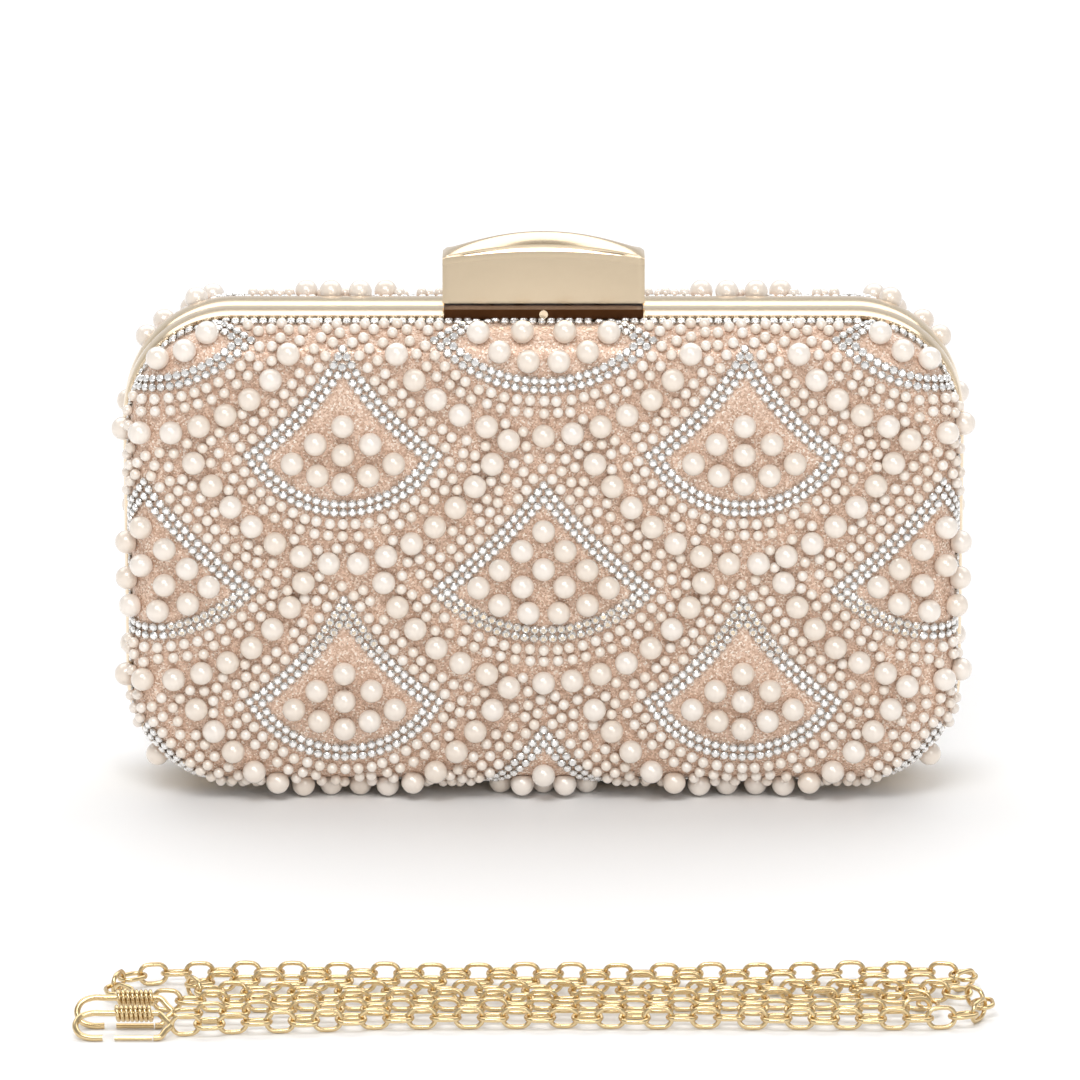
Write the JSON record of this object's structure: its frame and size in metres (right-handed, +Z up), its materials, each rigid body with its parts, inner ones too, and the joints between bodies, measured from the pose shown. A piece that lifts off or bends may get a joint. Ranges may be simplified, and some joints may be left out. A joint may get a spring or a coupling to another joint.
{
  "type": "evening bag",
  "caption": "Hard-sided evening clutch covered in pearls and crystals, with a gold frame, an arched bar clasp and a detachable chain strap that lies folded in front.",
  "frame": {"origin": "on the floor, under the middle of the shut bag", "axes": "+X across the bag to the viewer's right, the front faces -Y, +Z up"},
  "size_m": [0.2059, 0.2296, 0.1353],
  "materials": {
    "gold": "polished pale gold plate",
    "dark_gold": "dark bronze-gold plate in the shade under the clasp",
    "strap_gold": "polished light gold plate",
    "steel": "plain bright steel",
    "stones": "pearls and crystals set on glitter fabric",
    "pearl": "cream pearl lustre",
    "crystal": "clear cut crystal in a silver setting",
    "glitter_fabric": "rose-gold glitter fabric",
    "shell_board": "moulded shell, hidden between cover and lining",
    "lining": "champagne satin lining"
  },
  "bodies": {
    "back_half": {"back_frame": "gold", "back_cover": "stones", "back_shell": "shell_board", "back_lining": "lining", "inner_pocket": "lining", "back_hinge_leaf": "gold", "back_hinge_rivet_1": "gold", "back_hinge_rivet_2": "gold", "back_hinge_rivet_3": "gold", "hinge_pin": "steel", "clasp_base": "gold", "clasp_base_rivet_left": "gold", "clasp_base_rivet_right": "gold", "clasp_pin": "steel", "clasp_spring": "steel", "strap_loop_left": "gold", "strap_loop_right": "gold", "strap_chain": "strap_gold", "strap_hook_a": "strap_gold", "strap_hook_b": "strap_gold"},
    "front_half": {"front_frame": "gold", "front_cover": "stones", "front_shell": "shell_board", "front_lining": "lining", "front_hinge_leaf": "gold", "front_hinge_rivet_1": "gold", "front_hinge_rivet_2": "gold", "front_hinge_rivet_3": "gold", "catch_plate": "dark_gold", "catch_rivet": "gold"},
    "clasp": {"clasp_bar": "gold", "clasp_hook": "steel"},
    "hook_a_sleeve": {"strap_hook_coil_a": "strap_gold", "strap_hook_gate_a": "strap_gold"},
    "hook_b_sleeve": {"strap_hook_coil_b": "strap_gold", "strap_hook_gate_b": "strap_gold"}
  },
  "joints": [
    {"name": "front_open", "type": "hinge", "parent": "back_half", "child": "front_half", "pos_m": [0, 0, 0.0022], "axis": [1, 0, 0], "range_deg": [0, 100]},
    {"name": "clasp_lift", "type": "hinge", "parent": "back_half", "child": "clasp", "pos_m": [0, 0.0026, 0.1217], "axis": [-1, 0, 0], "range_deg": [0, 30], "stiffness_Nm_per_rad": 0.03, "springref_deg": -5.73},
    {"name": "hook_a_slide", "type": "slide", "parent": "back_half", "child": "hook_a_sleeve", "axis": [-1, 0, 0], "range_m": [0, 0.0023]},
    {"name": "hook_b_slide", "type": "slide", "parent": "back_half", "child": "hook_b_sleeve", "axis": [-1, 0, 0], "range_m": [0, 0.0023]}
  ]
}
